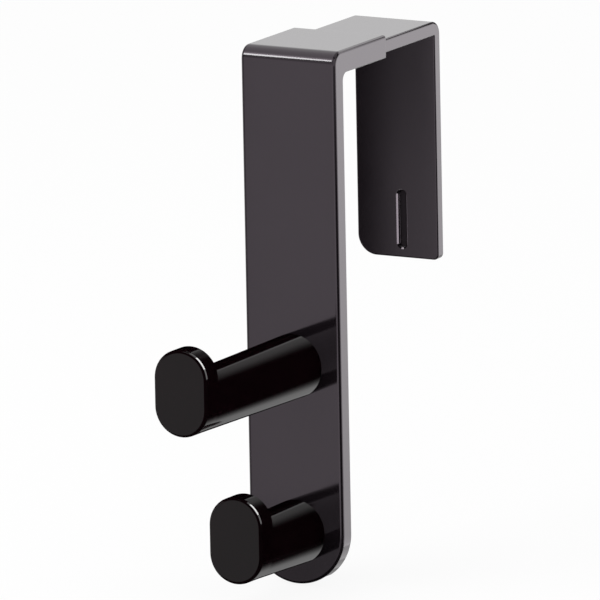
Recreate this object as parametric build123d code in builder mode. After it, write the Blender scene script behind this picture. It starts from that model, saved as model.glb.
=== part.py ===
from build123d import *
import os

# Double coat hook that hangs over the top edge of a panel or partition. The front plate carries
# two pegs and ends at the top in a hollow arm. The rear hook's tongue slides in that arm, so the
# space between the two plates follows the thickness of the panel. All sizes are in millimetres.
# X runs across the hook, Y from the pegs to the rear plate, and Z up. The origin is the middle
# of the arm's underside, which rests on the panel's top edge.

# Front plate
plate_width = 40.0
plate_thickness = 6.8
overall_height = 203.3
front_bend_radius = 5.0
inner_bend_radius = 3.0
outer_edge_radius = 1.3
back_edge_radius = 0.6

# Hollow arm, moulded in one piece with the front plate
arm_reach = 33.1
arm_height = 8.7
arm_floor = 0.95
arm_front_wall = 3.0

# Rear hook
panel_gap = 75.5
tongue_width = 34.4
tongue_thickness = 5.1
tongue_overlap = 17.0
slide_clearance = 0.15
tongue_tip_chamfer = 0.8
rear_plate_thickness = 4.5
rear_plate_drop = 85.0
rear_bend_radius = 5.2
rear_corner_left = 7.8
rear_corner_right = 2.2
rear_edge_radius = 0.9
rear_inner_edge_radius = 0.6

# Long shallow recess in the inner face of the rear plate
slot_width = 4.6
slot_length = 22.9
slot_depth = 1.9
slot_side_offset = 1.85
slot_centre_rise = 14.6

# Pegs: a round tapered shaft with a taller round-ended head that keeps the coat from slipping
upper_peg_reach = 85.6
lower_peg_reach = 46.5
peg_spacing = 63.2
head_width = 22.5
head_height = 33.1
head_thickness = 8.7
head_front_radius = 1.25
shaft_root_radius = 12.15

# Inside of a peg: a cored moulding with a screw boss, crossed ribs and two locating pins
peg_wall = 2.4
head_wall = 3.2
boss_radius = 4.2
rib_thickness = 3.2
pin_radius = 1.3
pin_length = 2.2
pin_circle_radius = 7.4
pin_clearance = 0.1
pin_hole_relief = 0.4

# Peg screws, put in from the back of the front plate
screw_radius = 1.7
screw_bite = 13.0
screw_tip_taper = 0.9
screw_head_radius = 3.8
screw_head_height = 2.4
screw_head_edge = 0.9
thread_clearance = 0.05
screw_hole_clearance = 0.2
pilot_relief = 1.5
pocket_depth = 3.2
pocket_clearance = 0.4
recess_length = 4.2
recess_width = 0.9
recess_depth = 1.3

# Places worked out from the sizes above
half_width = plate_width / 2
plate_back = -arm_reach / 2
plate_front = plate_back - plate_thickness
plate_foot = arm_height - overall_height
mouth = plate_back + arm_reach
cavity_end = plate_front + arm_front_wall

tongue_bottom = arm_floor + slide_clearance
tongue_top = tongue_bottom + tongue_thickness
tongue_tip = mouth - tongue_overlap
rear_inner = plate_back + panel_gap
rear_outer = rear_inner + rear_plate_thickness
rear_foot = -rear_plate_drop

lower_peg_height = plate_foot + half_width
upper_peg_height = lower_peg_height + peg_spacing
shaft_tip_radius = head_width / 2
head_rise = (head_height - head_width) / 2
pocket_floor = plate_back - pocket_depth


def facing_pegs(depth, height):
    """A plane across the hook at a depth along Y, centred on a peg's axis, that faces the pegs."""
    return Plane(origin=(0, depth, height), x_dir=(1, 0, 0), z_dir=(0, -1, 0))


def not_across(edges):
    """Leaves out the edges that run straight across the hook."""
    return edges.filter_by(Axis.X, reverse=True)


# Front plate and arm: a side outline carried across the width
with BuildPart() as front_hook:
    with BuildSketch(Plane.YZ):
        with BuildLine():
            FilletPolyline(
                (mouth, arm_height),
                (plate_front, arm_height),
                (plate_front, plate_foot),
                radius=front_bend_radius,
            )
            Line((plate_front, plate_foot), (plate_back, plate_foot))
            FilletPolyline(
                (plate_back, plate_foot),
                (plate_back, 0),
                (mouth, 0),
                radius=inner_bend_radius,
            )
            Line((mouth, 0), (mouth, arm_height))
        make_face()
    extrude(amount=half_width, both=True)

    # The foot of the plate is a half circle as wide as the plate
    with BuildSketch(Plane.XZ):
        with Locations((0, (arm_height + lower_peg_height) / 2)):
            Rectangle(plate_width, arm_height - lower_peg_height)
        with Locations((0, lower_peg_height)):
            Circle(half_width)
    extrude(amount=plate_thickness + arm_reach, both=True, mode=Mode.INTERSECT)

    # The show side has a soft edge all round, and the side towards the panel a smaller one
    bends = front_hook.faces().filter_by(GeomType.CYLINDER).sort_by(Axis.Z)
    show_side = [front_hook.faces().sort_by(Axis.Y)[0], bends[-1], front_hook.faces().sort_by(Axis.Z)[-1]]
    panel_side = [
        front_hook.faces().filter_by(Axis.Y).sort_by(Axis.Z)[0:2].sort_by(Axis.Y)[-1],
        bends[-2],
        front_hook.faces().filter_by(Axis.Z).sort_by(Axis.Z)[-2],
    ]
    show_edges = ShapeList([edge for face in show_side for edge in face.edges()])
    panel_edges = ShapeList([edge for face in panel_side for edge in face.edges()])
    fillet(not_across(show_edges), outer_edge_radius)
    fillet(not_across(panel_edges), back_edge_radius)

    # Cavity of the arm, open at its rear end, in which the tongue slides
    with BuildSketch(Plane.XZ.offset(-mouth)):
        with Locations((0, (tongue_bottom + tongue_top) / 2)):
            Rectangle(tongue_width + 2 * slide_clearance, tongue_thickness + 2 * slide_clearance)
    extrude(amount=mouth - cavity_end, mode=Mode.SUBTRACT)

    # Screw pocket, screw hole and two blind pin holes behind each peg
    for peg_height in (upper_peg_height, lower_peg_height):
        with BuildSketch(facing_pegs(plate_back, peg_height)):
            Circle(screw_head_radius + pocket_clearance)
        extrude(amount=pocket_depth, mode=Mode.SUBTRACT)
        with BuildSketch(facing_pegs(pocket_floor, peg_height)):
            Circle(screw_radius + screw_hole_clearance)
        extrude(amount=pocket_floor - plate_front, mode=Mode.SUBTRACT)
        with BuildSketch(facing_pegs(plate_front, peg_height)):
            with Locations((0, pin_circle_radius), (0, -pin_circle_radius)):
                Circle(pin_radius + pin_clearance)
        extrude(amount=-(pin_length + pin_hole_relief), mode=Mode.SUBTRACT)

# Rear hook: the sliding tongue, the bend and the rear plate in one piece
with BuildPart() as rear_hook:
    with BuildSketch(Plane.YZ):
        with BuildLine():
            FilletPolyline(
                (tongue_tip, tongue_top),
                (rear_outer, tongue_top),
                (rear_outer, rear_foot),
                radius=rear_bend_radius,
            )
            Polyline(
                (rear_outer, rear_foot),
                (rear_inner, rear_foot),
                (rear_inner, tongue_bottom),
                (tongue_tip, tongue_bottom),
                (tongue_tip, tongue_top),
            )
        make_face()
    extrude(amount=tongue_width / 2, both=True)

    # The tip of the tongue is bevelled above and below, to find its way into the arm
    tip_face = rear_hook.faces().sort_by(Axis.Y)[0]
    chamfer(tip_face.edges().filter_by(Axis.X), tongue_tip_chamfer)

    # The foot has one large and one small corner
    foot_corners = rear_hook.faces().sort_by(Axis.Z)[0].edges().filter_by(Axis.Y).sort_by(Axis.X)
    fillet(foot_corners[0], rear_corner_left)
    foot_corners = rear_hook.faces().sort_by(Axis.Z)[0].edges().filter_by(Axis.Y).sort_by(Axis.X)
    fillet(foot_corners[-1], rear_corner_right)

    # Soft edges, larger on the outside than on the side that rests on the panel
    outer_face = rear_hook.faces().sort_by(Axis.Y)[-1]
    bend_face = rear_hook.faces().filter_by(GeomType.CYLINDER).sort_by(Axis.Z)[-1]
    top_face = rear_hook.faces().sort_by(Axis.Z)[-1]
    outer_rim = outer_face.edges().sort_by(Axis.Z)[:-1]
    outer_rim += not_across(bend_face.edges()) + not_across(top_face.edges())
    fillet(outer_rim, rear_edge_radius)
    inner_face = rear_hook.faces().filter_by_position(Axis.Y, rear_inner - 0.01, rear_inner + 0.01)[0]
    fillet(inner_face.edges().sort_by(Axis.Z)[:-1], rear_inner_edge_radius)

    # Recess in the face that rests on the panel
    with BuildSketch(facing_pegs(rear_inner, rear_foot + slot_centre_rise)):
        with Locations((slot_side_offset, 0)):
            SlotOverall(slot_length, slot_width, rotation=90)
    extrude(amount=-slot_depth, mode=Mode.SUBTRACT)


def make_peg(label, height, reach):
    """A peg whose shaft is round and whose head rises above it as a stadium."""
    shaft_length = reach - head_thickness
    core_length = reach - head_wall
    with BuildPart() as peg:
        with BuildSketch(facing_pegs(plate_front, height)):
            Circle(shaft_root_radius)
        with BuildSketch(facing_pegs(plate_front - shaft_length, height)):
            Circle(shaft_tip_radius)
        loft()

        # The head's lower half circle is as wide as the shaft, so only its top stands up
        with BuildSketch(facing_pegs(plate_front - shaft_length, height)):
            with Locations((0, head_rise)):
                SlotOverall(head_height, head_width, rotation=90)
        extrude(amount=head_thickness)
        fillet(peg.faces().sort_by(Axis.Y)[0].edges(), head_front_radius)

        # Core, open at the root, with a screw boss and crossed ribs
        with BuildSketch(facing_pegs(plate_front, height)):
            Circle(shaft_root_radius - peg_wall)
        with BuildSketch(facing_pegs(plate_front - core_length, height)):
            Circle(shaft_tip_radius - peg_wall)
        loft(mode=Mode.SUBTRACT)
        with BuildSketch(facing_pegs(plate_front, height)):
            Circle(boss_radius)
            Rectangle(2 * shaft_tip_radius - peg_wall, rib_thickness)
            Rectangle(rib_thickness, 2 * shaft_tip_radius - peg_wall)
        extrude(amount=core_length)
        with BuildSketch(facing_pegs(plate_front, height)):
            Circle(screw_radius + thread_clearance)
        extrude(amount=screw_bite + pilot_relief, mode=Mode.SUBTRACT)

        # Pins that keep the peg from turning
        with BuildSketch(facing_pegs(plate_front, height)):
            with Locations((0, pin_circle_radius), (0, -pin_circle_radius)):
                Circle(pin_radius)
        extrude(amount=-pin_length)
    peg.part.label = label
    return peg.part


def make_screw(label, height):
    """A pan head screw with a cross recess, seated on the floor of its pocket."""
    with BuildPart() as screw:
        with BuildSketch(facing_pegs(pocket_floor, height)):
            Circle(screw_radius)
        extrude(amount=pocket_floor - plate_front + screw_bite)
        chamfer(screw.faces().sort_by(Axis.Y)[0].edges(), screw_tip_taper)
        with BuildSketch(facing_pegs(pocket_floor, height)):
            Circle(screw_head_radius)
        extrude(amount=-screw_head_height)
        fillet(screw.faces().sort_by(Axis.Y)[-1].edges(), screw_head_edge)
        with BuildSketch(facing_pegs(pocket_floor + screw_head_height, height)):
            Rectangle(recess_length, recess_width)
            Rectangle(recess_width, recess_length)
        extrude(amount=recess_depth, mode=Mode.SUBTRACT)
    screw.part.label = label
    return screw.part


front_hook.part.label = "front_hook"
rear_hook.part.label = "rear_hook"
pieces = [
    front_hook.part,
    rear_hook.part,
    make_peg("upper_peg", upper_peg_height, upper_peg_reach),
    make_peg("lower_peg", lower_peg_height, lower_peg_reach),
    make_screw("upper_peg_screw", upper_peg_height),
    make_screw("lower_peg_screw", lower_peg_height),
]

os.makedirs("parts", exist_ok=True)
for piece in pieces:
    export_step(piece, f"parts/{piece.label}.step")
    print(piece.label, round(piece.volume), "cubic millimetres")
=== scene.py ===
import math

import bpy
import bmesh
import numpy as np
from mathutils import Matrix, Vector
from mathutils.geometry import tessellate_polygon


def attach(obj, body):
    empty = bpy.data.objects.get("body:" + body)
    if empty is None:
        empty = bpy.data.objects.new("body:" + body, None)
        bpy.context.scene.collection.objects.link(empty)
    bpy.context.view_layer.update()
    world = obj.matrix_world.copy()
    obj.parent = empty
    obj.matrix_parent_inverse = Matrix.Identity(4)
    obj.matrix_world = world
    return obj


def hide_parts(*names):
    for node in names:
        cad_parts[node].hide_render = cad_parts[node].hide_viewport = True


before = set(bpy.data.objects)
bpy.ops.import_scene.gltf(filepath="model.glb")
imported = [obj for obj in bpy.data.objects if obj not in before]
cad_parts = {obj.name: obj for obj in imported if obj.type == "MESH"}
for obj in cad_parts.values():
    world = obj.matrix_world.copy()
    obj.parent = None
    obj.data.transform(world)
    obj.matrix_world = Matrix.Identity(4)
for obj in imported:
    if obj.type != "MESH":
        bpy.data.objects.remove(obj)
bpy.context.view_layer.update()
print("frame loaded")

# Sizes are in millimetres, and a piece becomes metres when its mesh is made.
# X runs across the hook, Y from the pegs to the rear plate, Z up.

millimetres = 1000
guard = 0.05    # how far a row of points lies from a rounded edge, so that the flat beside it shades flat


def steps(start, end, count):
    # Evenly spaced angles in radians between two angles in degrees
    return np.radians(np.linspace(start, end, count + 1))


def gridQuads(rows, columns, offset=0, closed=False):
    # Four corners of each cell of a grid of points, and the last column joins the first when closed
    across = columns if closed else columns - 1
    i, j = np.meshgrid(np.arange(rows - 1), np.arange(across), indexing="ij")
    k = (j + 1) % columns
    near, far = i * columns, (i + 1) * columns
    cells = np.stack([near + j, near + k, far + k, far + j], axis=-1)
    return cells.reshape(-1, 4) + offset


class Skin:
    # Gathers grids and flat fills of one piece, which share their edge points exactly
    def __init__(self):
        self.points, self.faces, self.count = [], [], 0

    def grid(self, surface, closed=False):
        rows, columns = surface.shape[:2]
        self.points.append(surface.reshape(-1, 3))
        self.faces.extend(gridQuads(rows, columns, self.count, closed).tolist())
        self.count += rows * columns

    def flat(self, *loops):
        # A flat face with holes: the first loop is its outline and the others are the holes
        corners = np.concatenate(loops)
        triangles = tessellate_polygon([[Vector(p) for p in loop] for loop in loops])
        self.points.append(corners)
        self.faces.extend([tuple(c + self.count for c in t) for t in triangles])
        self.count += len(corners)

    def build(self, name, sharpAngle=32, mergeWithin=2e-6, flatWithin=1e-7):
        # Merges the shared edge points, turns the faces outwards and makes the object, in metres
        mesh = bpy.data.meshes.new(name)
        mesh.from_pydata((np.concatenate(self.points) / millimetres).tolist(), [], self.faces)
        work = bmesh.new()
        work.from_mesh(mesh)
        bmesh.ops.remove_doubles(work, verts=work.verts, dist=mergeWithin)
        bmesh.ops.dissolve_degenerate(work, edges=work.edges, dist=flatWithin)
        bmesh.ops.recalc_face_normals(work, faces=work.faces)
        openEdges = sum(1 for edge in work.edges if len(edge.link_faces) != 2)
        work.to_mesh(mesh)
        work.free()
        mesh.shade_smooth()
        mesh.set_sharp_from_angle(angle=math.radians(sharpAngle))
        piece = bpy.data.objects.new(name, mesh)
        bpy.context.scene.collection.objects.link(piece)
        print(name, len(mesh.polygons), "faces,", openEdges, "open edges")
        return piece


def rimProfile(count=10):
    # Quarter circle from a flat face to a side, per unit radius: in from the side by 1 - sin t and down
    # from the face by 1 - cos t, with a guard point on each flat. Its normal is sin t to the side, cos t up
    angles = steps(0, 90, count)
    inset = np.concatenate([[1.0], 1 - np.sin(angles), [0.0]])
    depth = np.concatenate([[0.0], 1 - np.cos(angles), [1.0]])
    insetGuard = np.concatenate([[guard], np.zeros(count + 2)])
    depthGuard = np.concatenate([np.zeros(count + 2), [guard]])
    side = np.concatenate([[0.0], np.sin(angles), [1.0]])
    face = np.concatenate([[1.0], np.cos(angles), [0.0]])
    return inset, insetGuard, depth, depthGuard, side, face


def halfRim(points, faceNormals, sideNormals, radii):
    # Rounded edge carried along a path: each path point less side normal * inset less face normal * depth
    inset, insetGuard, depth, depthGuard, side, face = rimProfile()
    moveIn = radii[:, None] * inset + insetGuard
    moveDown = radii[:, None] * depth + depthGuard
    surface = (points[:, None] - sideNormals[:, None] * moveIn[..., None]
               - faceNormals[:, None] * moveDown[..., None])
    normals = sideNormals[:, None] * side[None, :, None] + faceNormals[:, None] * face[None, :, None]
    return surface, normals


def rimSurface(outer, outerNormals, inner, innerNormals, sideNormals, outerRadii, innerRadii):
    # The whole edge band of a bent plate: outer rounding, side and inner rounding in one grid
    first, firstNormals = halfRim(outer, outerNormals, sideNormals, outerRadii)
    second, secondNormals = halfRim(inner, innerNormals, sideNormals, innerRadii)
    surface = np.concatenate([first, second[:, ::-1]], axis=1)
    return surface, np.concatenate([firstNormals, secondNormals[:, ::-1]], axis=1)


def stationsAcross(path, normals, halfWidth):
    # A side outline in Y and Z becomes points on the right side, then on the left side in reverse
    right = np.column_stack([np.full(len(path), halfWidth), path])
    left = np.column_stack([np.full(len(path), -halfWidth), path])[::-1]
    face = np.column_stack([np.zeros(len(path)), normals])
    return right, left, face, face[::-1]


def endLoop(rim):
    # The closed outline of the arm's cut end, down the right side and back up the left side
    return np.concatenate([rim[0], rim[-1][::-1]])


frontSettings = {
    "halfWidth": 20.0,
    "front": -23.35, "back": -16.55, "mouth": 16.55,
    "armTop": 8.7, "armUnderside": 0.0,
    "outerBend": 5.0, "innerBend": 3.0,
    "showEdge": 1.3, "backEdge": 0.6, "mouthEdge": 0.3,
    "footCentre": -174.6, "footSteps": 72, "bendSteps": 20, "plateRows": 12, "lipSteps": 6,
    "armRowsAbove": (8.0, -2.0, -12.0), "armRowsBelow": (9.0, 1.0, -8.0),
    "cavityHalfWidth": 17.35, "cavityLow": 0.95, "cavityHigh": 6.35, "cavityEnd": -20.35,
    "pocketHeights": (-111.4, -174.6), "pocketRadius": 4.2, "pocketDepth": 3.2,
    "pocketEdge": 0.25, "pocketSteps": 64, "pocketEdgeSteps": 4, "pocketFloorGuard": 0.02,
    "pocketFloorRing": 0.4, "holeRadius": 1.9, "holeShort": 0.4,
}


def makeFrontHook(s):
    # A side outline of arm, quarter-circle bend and plate is ruled across the width. A rounded band runs
    # along its whole edge, round the half circle of the foot, which is centre + half width * (cos a, -sin a)
    skin = Skin()
    t = steps(0, 90, s["bendSteps"])
    away = np.column_stack([-np.sin(t), np.cos(t)])
    outerCentre = np.array([s["front"] + s["outerBend"], s["armTop"] - s["outerBend"]])
    innerCentre = np.array([s["back"] + s["innerBend"], s["armUnderside"] - s["innerBend"]])
    outerArc = outerCentre + s["outerBend"] * away
    innerArc = innerCentre + s["innerBend"] * away

    # Stations: arm from the mouth, bend, then plate down to the middle of the half-round foot
    mouth = s["mouth"] - s["mouthEdge"]
    armOuter = np.array([mouth, mouth - guard, *s["armRowsAbove"], outerArc[0, 0] + guard])
    armInner = np.array([mouth, mouth - guard, *s["armRowsBelow"], innerArc[0, 0] + guard])
    down = np.linspace(0, 1, s["plateRows"])
    plateOuter = (outerArc[-1, 1] - guard) * (1 - down) + s["footCentre"] * down
    plateInner = (innerArc[-1, 1] - guard) * (1 - down) + s["footCentre"] * down
    rows = len(armOuter)
    outer = np.concatenate([
        np.column_stack([armOuter, np.full(rows, s["armTop"])]), outerArc,
        np.column_stack([np.full(len(down), s["front"]), plateOuter])])
    inner = np.concatenate([
        np.column_stack([armInner, np.full(rows, s["armUnderside"])]), innerArc,
        np.column_stack([np.full(len(down), s["back"]), plateInner])])
    outerNormals = np.concatenate([
        np.tile([0.0, 1.0], (rows, 1)), away, np.tile([-1.0, 0.0], (len(down), 1))])
    innerNormals = np.concatenate([
        np.tile([0.0, -1.0], (rows, 1)), -away, np.tile([1.0, 0.0], (len(down), 1))])

    # The half-round foot between the two sides
    a = steps(0, 180, s["footSteps"])[1:-1]
    outward = np.column_stack([np.cos(a), np.zeros(len(a)), -np.sin(a)])
    footOuter = outward * s["halfWidth"] + [0, s["front"], s["footCentre"]]
    footInner = outward * s["halfWidth"] + [0, s["back"], s["footCentre"]]
    oRight, oLeft, oFace, oFaceBack = stationsAcross(outer, outerNormals, s["halfWidth"])
    iRight, iLeft, iFace, iFaceBack = stationsAcross(inner, innerNormals, s["halfWidth"])
    count = len(outer)
    sides = np.concatenate([np.tile([1.0, 0, 0], (count, 1)), outward, np.tile([-1.0, 0, 0], (count, 1))])
    total = len(sides)
    rim, rimNormals = rimSurface(
        np.concatenate([oRight, footOuter, oLeft]),
        np.concatenate([oFace, np.tile([0, -1.0, 0], (len(a), 1)), oFaceBack]),
        np.concatenate([iRight, footInner, iLeft]),
        np.concatenate([iFace, np.tile([0, 1.0, 0], (len(a), 1)), iFaceBack]),
        sides, np.full(total, s["showEdge"]), np.full(total, s["backEdge"]))
    skin.grid(rim)

    # Faces between the rims: ruled across the arm and bend, flat below
    bendEnd = rows + len(t)
    for column in (0, -1):
        right, left = rim[:bendEnd + 1, column], rim[::-1][:bendEnd + 1, column]
        skin.grid(np.stack([right, left], axis=1))
    skin.flat(rim[bendEnd:total - bendEnd, 0])

    # Back face with the round pockets behind the pegs, each with a hole for the screw
    circle = steps(0, 360, s["pocketSteps"])[:-1]
    ring = np.column_stack([np.cos(circle), np.zeros(len(circle)), np.sin(circle)])
    soft = steps(0, 90, s["pocketEdgeSteps"])
    edge, depth, forward = s["pocketEdge"], s["pocketDepth"], np.array([0, 1, 0])
    holes = []
    for height in s["pocketHeights"]:
        centre = np.array([0, s["back"], height])
        radii = np.concatenate([[edge + guard], edge * (1 - np.sin(soft)), [0, 0, -s["pocketFloorRing"]]])
        radii = np.concatenate([radii + s["pocketRadius"], [s["holeRadius"], s["holeRadius"]]])
        depths = np.concatenate([
            [0], edge * (1 - np.cos(soft)), [depth - s["pocketFloorGuard"], depth, depth]])
        depths = np.concatenate([-depths, [-depth, s["front"] - s["back"] + s["holeShort"]]])
        pocket = centre + ring[None] * radii[:, None, None] + forward * depths[:, None, None]
        skin.grid(pocket, closed=True)
        skin.flat(pocket[-1])
        holes.append(pocket[0])
    skin.flat(rim[bendEnd:total - bendEnd, -1], *holes)

    # Rounded lip of the mouth, its flat face and the cavity behind it
    loop, loopNormals = endLoop(rim), endLoop(rimNormals)
    b = steps(0, 90, s["lipSteps"])
    lipIn = s["mouthEdge"] * (1 - np.cos(b))
    lipOut = s["mouthEdge"] * np.sin(b)
    lip = loop[None] - loopNormals[None] * lipIn[:, None, None] + forward * lipOut[:, None, None]
    skin.grid(lip, closed=True)
    w, low, high = s["cavityHalfWidth"], s["cavityLow"], s["cavityHigh"]
    corners = np.array([[w, 0, high], [w, 0, low], [-w, 0, low], [-w, 0, high]])
    cavity = corners[None] + forward * np.array([s["mouth"], s["cavityEnd"]])[:, None, None]
    skin.grid(cavity, closed=True)
    skin.flat(lip[-1], cavity[0])
    skin.flat(cavity[1])
    return skin.build("frontHookShell")


rearSettings = {
    "halfWidth": 17.2,
    "tip": -0.45, "tipBevel": 0.8, "tongueRows": (20.0, 40.0),
    "top": 6.2, "underside": 1.1, "inner": 58.95, "outer": 63.45,
    "outerBend": 5.2, "innerBend": 0.4, "bendSteps": 20, "plateRows": 10,
    "outerEdge": 0.9, "tongueEdge": 0.3, "innerEdge": 0.6,
    "foot": -85.0, "cornerLeft": 7.8, "cornerRight": 2.2, "leftSteps": 28, "rightSteps": 14,
    "slotOffset": 1.85, "slotCentre": -70.4, "slotLength": 22.9, "slotWidth": 4.6, "slotDepth": 1.9,
    "slotSteps": 24,
}


def makeRearHook(s):
    # As the front hook: tongue, quarter-circle bend and plate ruled across the width, with a rounded band
    # round the edge. The foot's corners are quarter circles of two sizes, centre + radius * (cos a, -sin a)
    skin = Skin()
    t = steps(0, 90, s["bendSteps"])
    away = np.column_stack([np.sin(t), np.cos(t)])
    outerCentre = np.array([s["outer"] - s["outerBend"], s["top"] - s["outerBend"]])
    innerCentre = np.array([s["inner"] - s["innerBend"], s["underside"] - s["innerBend"]])
    outerArc = outerCentre + s["outerBend"] * away
    innerArc = innerCentre + s["innerBend"] * away
    plateEnd = s["foot"] + s["cornerLeft"]

    # Stations: bevelled tip of the tongue, tongue, bend, then down to the large corner of the foot
    along = np.array([0.0, s["tipBevel"], s["tipBevel"] + guard, *s["tongueRows"]])
    rise = np.array([s["tipBevel"], 0, 0, 0, 0])
    armOuter = np.column_stack([s["tip"] + along, s["top"] - rise])
    armInner = np.column_stack([s["tip"] + along, s["underside"] + rise])
    armOuter = np.vstack([armOuter, [outerArc[0, 0] - guard, s["top"]]])
    armInner = np.vstack([armInner, [innerArc[0, 0] - guard, s["underside"]]])
    rows, drop = len(armOuter), s["plateRows"]
    down = np.linspace(0, 1, drop)
    plateOuter = (outerArc[-1, 1] - guard) * (1 - down) + plateEnd * down
    plateInner = (innerArc[-1, 1] - guard) * (1 - down) + plateEnd * down
    outer = np.concatenate([armOuter, outerArc, np.column_stack([np.full(drop, s["outer"]), plateOuter])])
    inner = np.concatenate([armInner, innerArc, np.column_stack([np.full(drop, s["inner"]), plateInner])])
    outerNormals = np.concatenate([np.tile([0.0, 1.0], (rows, 1)), away, np.tile([1.0, 0.0], (drop, 1))])
    innerNormals = np.concatenate([np.tile([0.0, -1.0], (rows, 1)), -away, np.tile([-1.0, 0.0], (drop, 1))])

    # Outline of the foot: the small right corner, the straight lower edge, the large left corner
    rightArc, leftArc = steps(0, 90, s["rightSteps"]), steps(90, 180, s["leftSteps"])[:-1]
    w, small, large = s["halfWidth"], s["cornerRight"], s["cornerLeft"]
    footX = np.concatenate([w - small + small * np.cos(rightArc), -w + large + large * np.cos(leftArc)])
    footZ = s["foot"] + np.concatenate([small - small * np.sin(rightArc), large - large * np.sin(leftArc)])
    bend = np.concatenate([rightArc, leftArc])
    outward = np.column_stack([np.cos(bend), np.zeros(len(bend)), -np.sin(bend)])
    footOuter = np.column_stack([footX, np.full(len(bend), s["outer"]), footZ])
    footInner = np.column_stack([footX, np.full(len(bend), s["inner"]), footZ])
    oRight, oLeft, oFace, oFaceBack = stationsAcross(outer, outerNormals, w)
    iRight, iLeft, iFace, iFaceBack = stationsAcross(inner, innerNormals, w)
    count, middle = len(outer), len(bend)
    sides = np.concatenate([np.tile([1.0, 0, 0], (count, 1)), outward, np.tile([-1.0, 0, 0], (count, 1))])
    innerRadii = np.full(count, s["innerEdge"])
    innerRadii[:rows] = s["tongueEdge"]
    innerRadii[rows:rows + len(t)] = np.linspace(s["tongueEdge"], s["innerEdge"], len(t))
    innerRadii = np.concatenate([innerRadii, np.full(middle, s["innerEdge"]), innerRadii[::-1]])
    rim, rimNormals = rimSurface(
        np.concatenate([oRight, footOuter, oLeft]),
        np.concatenate([oFace, np.tile([0, 1.0, 0], (middle, 1)), oFaceBack]),
        np.concatenate([iRight, footInner, iLeft]),
        np.concatenate([iFace, np.tile([0, -1.0, 0], (middle, 1)), iFaceBack]),
        sides, np.full(len(sides), s["outerEdge"]), innerRadii)
    skin.grid(rim)
    total, bendEnd = len(sides), rows + len(t)
    for column in (0, -1):
        right, left = rim[:bendEnd + 1, column], rim[::-1][:bendEnd + 1, column]
        skin.grid(np.stack([right, left], axis=1))
    skin.flat(rim[bendEnd:total - bendEnd, 0])
    skin.flat(endLoop(rim))

    # Long recess in the inner face
    slot = stadiumRings(s, np.array([0.0, 0.0]), np.array([0.0, s["slotDepth"]]))
    skin.grid(slot, closed=True)
    skin.flat(slot[-1])
    skin.flat(rim[bendEnd:total - bendEnd, -1], slot[0])
    return skin.build("rearHookShell")


def stadiumRings(s, offset, depth):
    # Upright stadium outlines, each grown by its offset and sunk by its depth from the inner face:
    # centre + (half width + offset) * (cos a, sin a), lifted for the upper half and lowered for the lower
    half = s["slotSteps"]
    around = np.concatenate([steps(0, 180, half), steps(180, 360, half)])
    lift = np.repeat([1.0, -1.0], half + 1) * (s["slotLength"] - s["slotWidth"]) / 2
    radius = s["slotWidth"] / 2 + offset
    return np.stack([
        s["slotOffset"] + radius[:, None] * np.cos(around),
        np.broadcast_to(s["inner"] + depth[:, None], (len(radius), len(around))),
        s["slotCentre"] + lift + radius[:, None] * np.sin(around)], axis=-1)


liningSettings = {
    "wall": 0.25, "skirtGap": 0.02, "skirtTop": 0.03, "rimGap": 0.05,
    "bevel": 0.5, "bevelSteps": 5, "bevelStart": 0.1,
    "wallLean": 0.2, "floorEdge": 0.12, "floorSteps": 6,
}


def makeRecessLining(s, r):
    # Thin tray that lines the recess: stadium rings from the skirt over the bevelled rim, down the wall
    # and round a quarter circle to the floor
    skin = Skin()
    soft = steps(0, 90, s["floorSteps"])
    slope = np.linspace(s["bevel"] * s["bevelStart"], s["bevel"], s["bevelSteps"])
    wallOffset = -s["rimGap"] - s["bevel"] - s["wall"] * s["wallLean"]
    offset = np.concatenate([[-s["skirtGap"], -s["skirtGap"], -s["rimGap"]], -s["rimGap"] - slope,
                             wallOffset - s["floorEdge"] * (1 - np.cos(soft))])
    depth = np.concatenate([[r["slotDepth"] - s["skirtGap"], s["skirtTop"], 0.0], slope,
                            r["slotDepth"] - s["wall"] - s["floorEdge"] * (1 - np.sin(soft))])
    rings = stadiumRings(r, offset, depth)
    skin.grid(rings, closed=True)
    skin.flat(rings[0])
    skin.flat(rings[-1])
    return skin.build("recessLining")


pegSettings = {
    "root": -23.35, "rootRadius": 12.15, "tipRadius": 11.25, "shaftRows": 12,
    "rootSink": 0.3, "plugShrink": 0.4, "plugDepth": 0.6,
    "headThickness": 8.7, "headRise": 10.6, "frontEdge": 1.25, "lipEdge": 0.2,
    "aroundSteps": 56, "edgeSteps": 12, "lipSteps": 4,
    "pegs": {"upper_peg": (-111.4, 85.6), "lower_peg": (-174.6, 46.5)},
}


def pegPiece(name, stations, height, s, sameWithin=1e-9):
    # Stadium sections along Y, from stations of Y, radius and share of the head's rise:
    # each is a circle whose upper half lifts by that share, and the end sections are closed flat
    skin = Skin()
    y, radius, rise = np.array(stations).T
    half = s["aroundSteps"]
    around = np.concatenate([steps(0, 180, half), steps(180, 360, half)])
    lift = np.concatenate([np.ones(half + 1), np.zeros(half + 1)]) * s["headRise"]
    surface = np.stack([
        radius[:, None] * np.cos(around),
        np.broadcast_to(y[:, None], (len(y), len(around))),
        height + radius[:, None] * np.sin(around) + rise[:, None] * lift], axis=-1)
    skin.grid(surface, closed=True)
    # A section that doesn't rise has double points at its sides, which its flat end takes once
    moves = np.abs(np.diff(np.vstack([surface[0], surface[0][:1]]), axis=0)).sum(axis=1)
    outline = moves > sameWithin
    skin.flat(surface[0][outline])
    if radius[-1] > 0:
        skin.flat(surface[-1][outline])
    return skin.build(name, sharpAngle=40)


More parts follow.
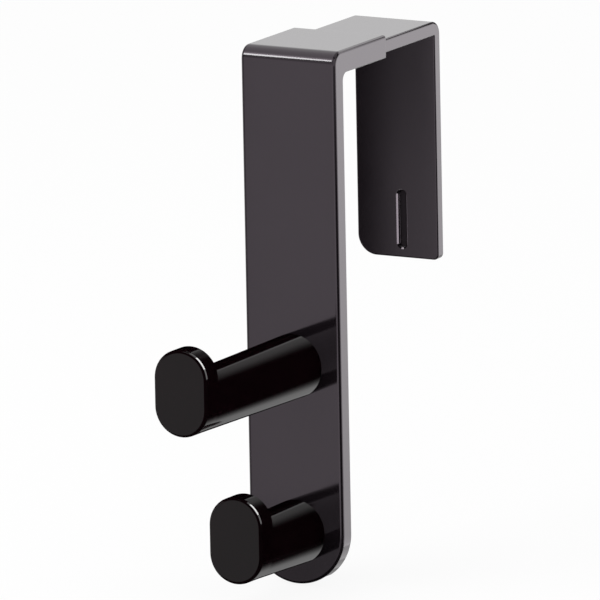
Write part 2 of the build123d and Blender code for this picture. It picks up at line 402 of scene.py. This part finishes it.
def makePeg(name, height, reach, s):
    # The tapered shaft, which ends just inside the head, and the tall head. The head's front edge is a
    # quarter circle: back by edge * (1 - sin t) and in by edge * (1 - cos t)
    root, r, edge, lip, rise = (s[key] for key in ("root", "tipRadius", "frontEdge", "lipEdge", "headRise"))
    headFront = root - reach
    headBack = headFront + s["headThickness"]
    shaft = [(root + s["rootSink"], s["rootRadius"], 0), (root, s["rootRadius"], 0)]
    shaft += [(root + (headBack - root) * f, s["rootRadius"] + (r - s["rootRadius"]) * f, 0)
              for f in np.linspace(0, 1, s["shaftRows"] + 1)[1:]]
    shaft += [(headBack - depth, r - s["plugShrink"], 0) for depth in (guard, s["plugDepth"])]
    head = [(headBack - lip * (1 - math.cos(t)), r, (rise - lip * (1 - math.sin(t))) / rise)
            for t in steps(0, 90, s["lipSteps"])]
    head += [(headBack - lip - guard, r, 1), (headFront + edge + guard, r, 1)]
    head += [(headFront + edge * (1 - math.sin(t)), r - edge * (1 - math.cos(t)), 1)
             for t in steps(0, 90, s["edgeSteps"])]
    head += [(headFront, r - edge - guard, 1), (headFront, r / 2, 1), (headFront, 0, 1)]
    return pegPiece(name + "Shaft", shaft, height, s), pegPiece(name + "Head", head, height, s)


frontHook = makeFrontHook(frontSettings)
rearHook = makeRearHook(rearSettings)
recessLining = makeRecessLining(liningSettings, rearSettings)
pegs = {name: makePeg(name, height, reach, pegSettings)
        for name, (height, reach) in pegSettings["pegs"].items()}
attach(frontHook, "front")
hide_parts("front_hook")
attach(rearHook, "rear")
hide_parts("rear_hook")
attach(recessLining, "rear")
for name, pieces in pegs.items():
    for piece in pieces:
        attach(piece, "front")
        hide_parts(name)
print("pieces made")


class Value:
    # Wraps a socket so that sums on values read as plain arithmetic
    def __init__(self, nodes, socket):
        self.nodes, self.socket = nodes, socket

    def maths(self, operation, first, second):
        return self.nodes.add("ShaderNodeMath", {"operation": operation}, {0: first, 1: second})["Value"]

    def __add__(self, other): return self.maths("ADD", self, other)
    def __radd__(self, other): return self.maths("ADD", other, self)
    def __sub__(self, other): return self.maths("SUBTRACT", self, other)
    def __rsub__(self, other): return self.maths("SUBTRACT", other, self)
    def __mul__(self, other): return self.maths("MULTIPLY", self, other)
    def __rmul__(self, other): return self.maths("MULTIPLY", other, self)


class Outputs:
    # A node's outputs by name, each as a value
    def __init__(self, nodes, node):
        self.nodes, self.node = nodes, node

    def __getitem__(self, key):
        return Value(self.nodes, self.node.outputs[key])


class Nodes:
    # One material's or the world's node tree
    def __init__(self, owner):
        owner.use_nodes = True
        self.tree = owner.node_tree
        self.tree.nodes.clear()

    def add(self, kind, settings=None, inputs=None):
        node = self.tree.nodes.new(kind)
        for key, value in (settings or {}).items():
            if key == "stops":
                elements = node.color_ramp.elements
                while len(elements) < len(value):
                    elements.new(0.5)
                for element, (position, colour) in zip(elements, value):
                    element.position, element.color = position, colour
            else:
                setattr(node, key, value)
        for key, value in (inputs or {}).items():
            if isinstance(value, Value):
                self.tree.links.new(value.socket, node.inputs[key])
            else:
                node.inputs[key].default_value = value
        return Outputs(self, node)


plateFinish = {
    "dark": (0.0066, 0.0048, 0.0062, 1), "light": (0.0088, 0.0066, 0.0083, 1), "spread": (0.32, 0.68),
    "cloudScale": 28.0, "speckScale": 1680.0, "speckShare": 0.25,
    "rippleScale": 210.0, "rippleDepth": 0.0000012,
    "roughness": 0.075, "roughnessSpread": 0.05, "smearScale": 55.0,
    "ior": 1.5, "glossTint": (1.0, 0.86, 0.98, 1),
}

pegFinish = {
    "dark": (0.0030, 0.0008, 0.0014, 1), "light": (0.0044, 0.0014, 0.0022, 1), "spread": (0.32, 0.68),
    "cloudScale": 40.0, "speckScale": 2400.0, "speckShare": 0.25,
    "rippleScale": 260.0, "rippleDepth": 0.0000010,
    "roughness": 0.09, "roughnessSpread": 0.05, "smearScale": 70.0,
    "ior": 1.5, "glossTint": (1.0, 1.0, 1.0, 1),
}


def glossPlastic(name, f):
    # Moulded plastic: cloudy pigment, a faint moulding ripple and handling smears in the gloss
    material = bpy.data.materials.new(name)
    n = Nodes(material)
    place = n.add("ShaderNodeTexCoord")["Object"]
    cloud = n.add("ShaderNodeTexNoise", {"noise_dimensions": "3D"},
                  {"Vector": place, "Scale": f["cloudScale"], "Detail": 3.0, "Roughness": 0.55})["Fac"]
    speck = n.add("ShaderNodeTexNoise", {"noise_dimensions": "3D"},
                  {"Vector": place, "Scale": f["speckScale"], "Detail": 2.0, "Roughness": 0.7})["Fac"]
    ripple = n.add("ShaderNodeTexNoise", {"noise_dimensions": "3D"},
                   {"Vector": place, "Scale": f["rippleScale"], "Detail": 1.0, "Roughness": 0.4})["Fac"]
    smear = n.add("ShaderNodeTexNoise", {"noise_dimensions": "3D"},
                  {"Vector": place, "Scale": f["smearScale"], "Detail": 5.0, "Roughness": 0.62,
                   "Distortion": 1.2})["Fac"]
    tone = n.add("ShaderNodeValToRGB", {"stops": list(zip(f["spread"], (f["dark"], f["light"])))},
                 {"Fac": cloud * (1 - f["speckShare"]) + speck * f["speckShare"]})["Color"]
    rough = f["roughness"] + (smear - 0.5) * f["roughnessSpread"]
    bump = n.add("ShaderNodeBump", {}, {
        "Strength": 1.0, "Distance": f["rippleDepth"], "Height": ripple})["Normal"]
    shader = n.add("ShaderNodeBsdfPrincipled", {}, {
        "Base Color": tone, "Roughness": rough, "IOR": f["ior"], "Specular Tint": f["glossTint"],
        "Normal": bump})["BSDF"]
    n.add("ShaderNodeOutputMaterial", {}, {"Surface": shader})
    return material


steelFinish = {
    "dark": (0.42, 0.42, 0.43, 1), "light": (0.62, 0.62, 0.63, 1), "spread": (0.3, 0.7),
    "mottleScale": 700.0, "scratchScale": 900.0, "scratchStretch": (1.0, 1.0, 0.08), "scratchShare": 0.4,
    "roughness": 0.28, "roughnessSpread": 0.18, "rippleDepth": 0.000004, "rippleStrength": 0.6,
}


def brushedSteel(name, f):
    # Zinc plate: mottled tone with fine scratches
    material = bpy.data.materials.new(name)
    n = Nodes(material)
    place = n.add("ShaderNodeTexCoord")["Object"]
    mottle = n.add("ShaderNodeTexNoise", {}, {
        "Vector": place, "Scale": f["mottleScale"], "Detail": 4.0})["Fac"]
    stretched = n.add("ShaderNodeMapping", {}, {
        "Vector": place, "Scale": f["scratchStretch"]})["Vector"]
    scratch = n.add("ShaderNodeTexNoise", {}, {
        "Vector": stretched, "Scale": f["scratchScale"], "Detail": 6.0, "Roughness": 0.7})["Fac"]
    tone = n.add("ShaderNodeValToRGB", {"stops": list(zip(f["spread"], (f["dark"], f["light"])))},
                 {"Fac": mottle * (1 - f["scratchShare"]) + scratch * f["scratchShare"]})["Color"]
    bump = n.add("ShaderNodeBump", {}, {
        "Strength": f["rippleStrength"], "Distance": f["rippleDepth"], "Height": scratch})["Normal"]
    shader = n.add("ShaderNodeBsdfPrincipled", {}, {
        "Base Color": tone, "Metallic": 1.0, "Normal": bump,
        "Roughness": f["roughness"] + (scratch - 0.5) * f["roughnessSpread"]})["BSDF"]
    n.add("ShaderNodeOutputMaterial", {}, {"Surface": shader})
    return material


platePlastic = glossPlastic("plateGloss", plateFinish)
pegPlastic = glossPlastic("pegGloss", pegFinish)
screwSteel = brushedSteel("screwZinc", steelFinish)
for piece in (frontHook, rearHook, recessLining):
    piece.data.materials.append(platePlastic)
for piece in sum(pegs.values(), ()):
    piece.data.materials.append(pegPlastic)
screws = [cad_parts[name] for name in ("upper_peg_screw", "lower_peg_screw")]
for screw in screws:
    if screw.material_slots:
        for slot in screw.material_slots:
            slot.material = screwSteel
    else:
        screw.data.materials.append(screwSteel)
print("finishes made")


def upright(across, y, height):
    # Corners of a sheet that stands across the hook, from its two X and its two Z limits
    (x0, x1), (z0, z1) = across, height
    return [(x0, y, z0), (x1, y, z0), (x1, y, z1), (x0, y, z1)]


def level(across, along, z):
    # Corners of a sheet that lies flat, from its two X and its two Y limits
    (x0, x1), (y0, y1) = across, along
    return [(x0, y0, z), (x1, y0, z), (x1, y1, z), (x0, y1, z)]


def sideways(x, along, height):
    # Corners of a sheet that stands along the arms, from its two Y and its two Z limits
    (y0, y1), (z0, z1) = along, height
    return [(x, y0, z0), (x, y1, z0), (x, y1, z1), (x, y0, z1)]


floorSettings = {"height": -0.1952, "reach": 6.0, "colour": (0.95, 0.95, 0.95, 1), "backgroundShare": 0.9}


def makeFloor(s):
    # A pale square under the foot, mixed with the white background for the camera alone
    mesh = bpy.data.meshes.new("floor")
    e = s["reach"]
    mesh.from_pydata(level((-e, e), (-e, e), s["height"]), [], [(0, 1, 2, 3)])
    floor = bpy.data.objects.new("floor", mesh)
    bpy.context.scene.collection.objects.link(floor)
    material = bpy.data.materials.new("paleFloor")
    n = Nodes(material)
    seen = n.add("ShaderNodeLightPath")["Is Camera Ray"]
    matt = n.add("ShaderNodeBsdfDiffuse", {}, {"Color": s["colour"], "Roughness": 1.0})["BSDF"]
    white = n.add("ShaderNodeEmission", {}, {"Color": (1, 1, 1, 1), "Strength": 1.0})["Emission"]
    mixed = n.add("ShaderNodeMixShader", {}, {0: seen * s["backgroundShare"], 1: matt, 2: white})["Shader"]
    n.add("ShaderNodeOutputMaterial", {}, {"Surface": mixed})
    mesh.materials.append(material)
    floor.visible_glossy = False


worldSettings = {"light": 0.75, "white": 1.0}


def makeWorld(s):
    # White to the camera and in reflections, and a plain even level for light
    world = bpy.data.worlds.new("studio")
    bpy.context.scene.world = world
    n = Nodes(world)
    path = n.add("ShaderNodeLightPath")
    direct = path["Is Camera Ray"] + path["Is Glossy Ray"] + path["Is Transmission Ray"]
    even = n.add("ShaderNodeBackground", {}, {"Color": (1, 1, 1, 1), "Strength": s["light"]})["Background"]
    white = n.add("ShaderNodeBackground", {}, {"Color": (1, 1, 1, 1), "Strength": s["white"]})["Background"]
    mixed = n.add("ShaderNodeMixShader", {}, {0: direct, 1: even, 2: white})["Shader"]
    n.add("ShaderNodeOutputWorld", {}, {"Surface": mixed})


makeFloor(floorSettings)
makeWorld(worldSettings)
print("floor and background made")


def group(name, pieces):
    # The pieces that a linked light shows in
    collection = bpy.data.collections.new(name)
    for piece in pieces:
        collection.objects.link(piece)
    return collection


groups = {
    "hooks": group("litHooks", [frontHook, rearHook]),
    "screws": group("litScrews", screws),
    "pegs": group("litPegs", sum(pegs.values(), ())),
    "shafts": group("litShafts", [shaft for shaft, head in pegs.values()]),
    "heads": group("litHeads", [head for shaft, head in pegs.values()]),
    "lining": group("litLining", [recessLining]),
}

# Of the new pieces only the shafts show in reflections, as in the photographed plate
for piece in [frontHook, rearHook, recessLining] + [head for shaft, head in pegs.values()]:
    piece.visible_glossy = False


def ramp(n, value, start, end, low, high):
    # Soft change from low at start to high at end, level beyond both
    return n.add("ShaderNodeMapRange", {"clamp": True, "interpolation_type": "SMOOTHSTEP"}, {
        "Value": value, "From Min": start, "From Max": end, "To Min": low, "To Max": high})["Result"]


def rampProduct(n, place, ramps):
    # The product of one or two ramps, each an axis and its limits
    shares = [ramp(n, place[axis], *limits) for axis, *limits in ramps]
    return shares[0] * shares[1] if len(shares) > 1 else shares[0]


def glowSheet(name, corners, glow, fade=None, receivers=None):
    # A flat card that only reflections see. Its fade is a list of ramps or a function, and gives the share
    # of the glow at a point, from 0 to 1
    mesh = bpy.data.meshes.new(name)
    mesh.from_pydata(corners, [], [(0, 1, 2, 3)])
    card = bpy.data.objects.new(name, mesh)
    bpy.context.scene.collection.objects.link(card)
    material = bpy.data.materials.new(name)
    n = Nodes(material)
    light = n.add("ShaderNodeEmission", {}, {"Color": (1, 1, 1, 1), "Strength": glow})["Emission"]
    if fade:
        place = n.add("ShaderNodeSeparateXYZ", {}, {"Vector": n.add("ShaderNodeTexCoord")["Object"]})
        none = n.add("ShaderNodeEmission", {}, {"Color": (1, 1, 1, 1), "Strength": 0.0})["Emission"]
        share = fade(n, place) if callable(fade) else rampProduct(n, place, fade)
        light = n.add("ShaderNodeMixShader", {}, {0: share, 1: none, 2: light})["Shader"]
    n.add("ShaderNodeOutputMaterial", {}, {"Surface": light})
    mesh.materials.append(material)
    card.visible_camera = False
    card.visible_diffuse = False
    card.visible_shadow = False
    card.visible_transmission = False
    if receivers:
        card.light_linking.receiver_collection = receivers


def softbox(name, s):
    # A rectangular lamp of even brightness that only reflections see, facing a point
    centre, towards, along = Vector(s["at"]), Vector(s["towards"]), Vector(s.get("along", (1, 0, 0)))
    lamp = bpy.data.lights.new(name, "AREA")
    lamp.shape = "RECTANGLE"
    lamp.size, lamp.size_y = s["size"]
    lamp.color = s.get("tint", (1, 1, 1))
    lamp.energy = s["glow"] * math.pi * s["size"][0] * s["size"][1]
    holder = bpy.data.objects.new(name, lamp)
    back = (centre - towards).normalized()
    side = (along - back * along.dot(back)).normalized()
    up = back.cross(side)
    holder.matrix_world = Matrix.Translation(centre) @ Matrix((side, up, back)).transposed().to_4x4()
    bpy.context.scene.collection.objects.link(holder)
    holder.visible_camera = False
    holder.visible_diffuse = s.get("lightsSurfaces", False)
    holder.visible_glossy = not holder.visible_diffuse
    if "lights" in s:
        holder.light_linking.receiver_collection = groups[s["lights"]]


tentSettings = {"across": (-0.62, 0.62), "along": (-0.37, 0.37), "height": (-0.66, 0.62), "glow": 0.012}


def makeTent(s):
    # A dark box that only reflections see, so that the gloss shows the cards, the lamps and dark edges
    across, along, height = s["across"], s["along"], s["height"]
    glowSheet("tentFront", upright(across, along[0], height), s["glow"])
    glowSheet("tentBack", upright(across, along[1], height), s["glow"])
    glowSheet("tentLeft", sideways(across[0], along, height), s["glow"])
    glowSheet("tentRight", sideways(across[1], along, height), s["glow"])
    glowSheet("tentTop", level(across, along, height[1]), s["glow"])
    glowSheet("tentLow", level(across, along, height[0]), s["glow"])


frontRamps = {
    "plate": (-0.218, -0.211, 0.0, 1.0), "plateAcross": (-0.15, 0.06, 0.76, 1.0),
    "corner": (0.13, 0.17, 1.0, 0.45), "foot": (-0.262, -0.243, 0.38, 1.0),
    "rearAcross": (-0.250, -0.228, 0.0, 0.51), "rearUp": (-0.165, -0.09, 1.0, 0.6),
    "top": (0.02, 0.06, 1.0, 0.6),
}


def frontFade(n, place):
    # The front plate's part of the card, dim for the foot, and left of it the rear plate's fading part
    x, z, f = place["X"], place["Z"], frontRamps
    front = ramp(n, x, *f["plate"])
    near = ramp(n, x, *f["plateAcross"]) * ramp(n, z, *f["foot"])
    far = ramp(n, x, *f["rearAcross"]) * ramp(n, z, *f["rearUp"])
    return (front * near + (1 - front) * far) * ramp(n, z, *f["top"]) * ramp(n, x, *f["corner"])


cardSettings = {
    # For the hooks in the photograph's view: plate, bend, tops and right sides
    "frontCard": {"corners": upright((-0.32, 0.235), -0.36, (-0.42, 0.18)), "glow": 1.68, "fade": frontFade,
                  "lights": "hooks"},
    "highFrontCard": {"corners": upright((-0.45, -0.08), -0.36, (0.27, 0.61)), "glow": 4.5, "lights": "hooks",
                      "fade": [("Z", 0.28, 0.50, 1.0, 0.37)]},
    "ceilingCard": {"corners": level((-0.48, -0.08), (-0.36, 0.36), 0.6), "glow": 1.55, "lights": "hooks"},
    "highBackCard": {"corners": upright((-0.45, -0.05), 0.36, (0.22, 0.61)), "glow": 1.3, "lights": "hooks"},
    "topCard": {"corners": upright((-0.455, -0.08), 0.355, (0.04, 0.22)), "glow": 1.3, "lights": "hooks"},
    "sideCard": {"corners": upright((0.13, 0.30), 0.355, (-0.36, 0.03)), "glow": 3.25, "lights": "hooks",
                 "fade": [("Z", -0.32, -0.03, 0.76, 1.0)]},
    # For the hooks from other sides: right, left, above, the corners and behind
    "farSideCard": {"corners": upright((0.30, 0.615), 0.355, (-0.45, 0.03)), "glow": 2.2, "lights": "hooks"},
    "rightCard": {"corners": sideways(0.615, (-0.02, 0.355), (-0.45, 0.03)), "glow": 2.0, "lights": "hooks",
                  "fade": [("Y", 0.05, 0.20, 0.0, 1.0)]},
    "leftCard": {"corners": sideways(-0.615, (-0.36, 0.365), (-0.60, 0.10)), "glow": 0.8, "lights": "hooks"},
    "frontLeftCard": {"corners": upright((-0.61, -0.325), -0.359, (-0.60, 0.03)), "glow": 0.9,
                      "lights": "hooks", "fade": [("X", -0.42, -0.325, 1.0, 0.0)]},
    "farLeftCard": {"corners": upright((-0.615, -0.33), 0.362, (-0.45, 0.10)), "glow": 0.8,
                    "lights": "hooks"},
    "overCard": {"corners": level((-0.08, 0.61), (-0.2, 0.36), 0.605), "glow": 0.9, "lights": "hooks"},
    "edgeCard": {"corners": upright((-0.08, 0.35), 0.356, (0.03, 0.55)), "glow": 2.1, "lights": "hooks",
                 "fade": [("Z", 0.2, 0.55, 1.0, 0.3)]},
    "highRightCard": {"corners": sideways(0.615, (-0.36, 0.0), (-0.16, 0.55)), "glow": 1.3, "lights": "hooks",
                      "fade": [("Z", -0.16, 0.0, 0.1, 1.0)]},
    "cornerCard": {"corners": upright((0.25, 0.615), -0.362, (-0.16, 0.55)), "glow": 1.3, "lights": "hooks",
                   "fade": [("Z", -0.16, 0.0, 0.1, 1.0)]},
    "topLeftCard": {"corners": upright((-0.61, -0.455), 0.3605, (0.03, 0.60)), "glow": 0.8,
                    "lights": "hooks"},
    "highLeftCard": {"corners": sideways(-0.612, (-0.36, 0.36), (0.11, 0.55)), "glow": 0.7,
                     "lights": "hooks"},
    "leftCornerCard": {"corners": upright((-0.61, -0.455), -0.358, (0.03, 0.55)), "glow": 0.7,
                       "lights": "hooks"},
    "highFarCard": {"corners": sideways(0.612, (0.0, 0.355), (0.035, 0.55)), "glow": 0.6, "lights": "hooks"},
    "backCard": {"corners": upright((-0.33, 0.13), 0.361, (-0.60, 0.03)), "glow": 1.1, "lights": "hooks"},
    "overFrontCard": {"corners": upright((-0.08, 0.25), -0.361, (0.14, 0.60)), "glow": 0.7,
                      "lights": "hooks"},
    # The lines of light along the shafts, bright below, and dim above for every piece
    "pegLowCard": {"corners": upright((-0.152, 0.17), 0.35, (-0.62, -0.27)), "glow": 0.60, "lights": "pegs",
                   "fade": [("X", 0.0, 0.17, 1.0, 0.0), ("X", -0.15, 0.02, 0.6, 1.0)]},
    "pegHighCard": {"corners": upright((-0.115, 0.165), 0.345, (-0.02, 0.18)), "glow": 0.55,
                    "fade": [("X", -0.115, -0.085, 1.0, 0.54), ("X", -0.03, 0.14, 1.0, 0.0)]},
}

lampSettings = {
    # Line over the bend
    "bendStrip": {"at": (-0.216, -0.350, 0.223), "towards": (0, -0.023, 0.006), "size": (0.16, 0.085),
                  "glow": 19.0, "tint": (0.88, 1.0, 0.90), "lights": "hooks"},
    # Rim and inside of the recess
    "rimRightBox": {"at": (0.42, -0.20, -0.17), "towards": (0, 0.059, -0.07), "along": (0, 0, 1),
                    "size": (0.3, 0.3), "glow": 8.0, "lights": "lining"},
    "rimHighBox": {"at": (-0.21, -0.03, 0.31), "towards": (0, 0.059, -0.07), "size": (0.25, 0.25),
                   "glow": 8.0, "lights": "lining"},
    "recessBox": {"at": (-0.235, -0.35, -0.17), "towards": (-0.235, 0, -0.17), "size": (0.12, 0.2),
                  "glow": 0.22, "lights": "lining"},
    # Flat faces of the heads
    "pegFaceBox": {"at": (-0.15, -0.35, -0.21), "towards": (-0.15, 0, -0.21), "size": (0.12, 0.20),
                   "glow": 0.42, "lights": "pegs"},
    # Round edge of the foot
    "footRightBox": {"at": (0.11, 0.34, -0.385), "towards": (0.11, 0, -0.385), "size": (0.12, 0.14),
                     "glow": 1.7, "lights": "hooks"},
    "footMiddleBox": {"at": (0.0, 0.34, -0.41), "towards": (0.0, 0, -0.41), "size": (0.10, 0.12),
                      "glow": 1.0, "lights": "hooks"},
    "footLeftBox": {"at": (-0.11, 0.34, -0.38), "towards": (-0.11, 0, -0.38), "size": (0.12, 0.14),
                    "glow": 0.5, "lights": "hooks"},
    # Crescents on the heads' right edges
    "crescentSideBox": {"at": (0.43, 0.0, -0.015), "towards": (0, 0, -0.10), "along": (-0.15, 0, 1),
                        "size": (0.23, 0.47), "glow": 2.8, "lights": "heads"},
    "crescentBox": {"at": (0.28, 0.0, 0.205), "towards": (0, 0, -0.10), "along": (-0.75, 0, 0.66),
                    "size": (0.32, 0.47), "glow": 18.0, "lights": "heads"},
    "crescentTopBox": {"at": (0.075, 0.0, 0.345), "towards": (0, 0, -0.10), "along": (-1, 0, 0.15),
                       "size": (0.17, 0.47), "glow": 2.0, "lights": "heads"},
    # The shafts from the right, and as the front plate mirrors them
    "shaftSideBox": {"at": (0.28, -0.05, 0.205), "towards": (0, -0.05, -0.10), "along": (-0.75, 0, 0.66),
                     "size": (0.32, 0.3), "glow": 1.2, "lights": "shafts"},
    "mirroredShaftBox": {"at": (0.09, -0.352, -0.04), "towards": (0.09, 0, -0.04), "size": (0.30, 0.42),
                         "glow": 2.4, "lights": "shafts"},
    # The pegs from the left, above and behind
    "pegLeftBox": {"at": (-0.34, -0.34, -0.20), "towards": (0, -0.06, -0.15), "along": (0, 0, 1),
                   "size": (0.45, 0.16), "glow": 1.0, "lights": "pegs"},
    "pegHighFrontBox": {"at": (0.03, -0.345, 0.41), "towards": (0.03, 0, 0.30), "size": (0.5, 0.36),
                        "glow": 0.8, "lights": "pegs"},
    "pegFarLeftBox": {"at": (-0.59, 0.20, -0.19), "towards": (0, -0.05, -0.15), "along": (0, 0, 1),
                      "size": (0.42, 0.28), "glow": 0.5, "lights": "pegs"},
    "pegHighBackBox": {"at": (0.03, 0.34, 0.48), "towards": (0.03, 0, 0.3), "size": (0.5, 0.22),
                       "glow": 0.7, "lights": "pegs"},
    # The screws from behind
    "screwRightBox": {"at": (0.36, 0.34, -0.24), "towards": (0, 0, -0.14), "along": (0, 0, 1),
                      "size": (0.5, 0.45), "glow": 0.75, "lights": "screws"},
    "screwLeftBox": {"at": (-0.50, 0.33, -0.20), "towards": (0, 0, -0.14), "along": (0, 0, 1),
                     "size": (0.5, 0.4), "glow": 0.6, "lights": "screws"},
    # The light on every surface and the floor's shadow, which no reflection shows
    "keyLamp": {"at": (-0.5, -0.7, 0.7), "towards": (0, 0, -0.09), "size": (0.8, 0.8), "glow": 2.6,
                "lightsSurfaces": True},
}

makeTent(tentSettings)
for name, s in cardSettings.items():
    glowSheet(name, s["corners"], s["glow"], s.get("fade"), groups.get(s.get("lights")))
for name, s in lampSettings.items():
    softbox(name, s)
print("lights made")

cameraSettings = {
    "target": (-0.01169, 0.00376, -0.09228), "distance": 8.978, "azimuth": 29.3, "elevation": 11.34,
    "roll": 1.09, "lens": 1440.0, "sensorWidth": 36.0, "clipEnd": 100.0,
}


def makeCamera(s):
    # The photograph's angle, through a long lens far away, turned by the roll about its own axis
    a, e, roll = (math.radians(s[key]) for key in ("azimuth", "elevation", "roll"))
    right = Vector((math.cos(a), math.sin(a), 0))
    up = Vector((-math.sin(a) * math.sin(e), math.cos(a) * math.sin(e), math.cos(e)))
    near = Vector((math.sin(a) * math.cos(e), -math.cos(a) * math.cos(e), math.sin(e)))
    across = right * math.cos(roll) - up * math.sin(roll)
    skyward = right * math.sin(roll) + up * math.cos(roll)
    camera = bpy.data.objects.new("camera", bpy.data.cameras.new("camera"))
    camera.data.lens = s["lens"]
    camera.data.sensor_width = s["sensorWidth"]
    camera.data.clip_end = s["clipEnd"]
    camera.matrix_world = (Matrix.Translation(Vector(s["target"]) + near * s["distance"])
                           @ Matrix((across, skyward, near)).transposed().to_4x4())
    bpy.context.scene.collection.objects.link(camera)
    bpy.context.scene.camera = camera


makeCamera(cameraSettings)
bpy.context.scene.view_settings.view_transform = "Standard"
print("camera set")
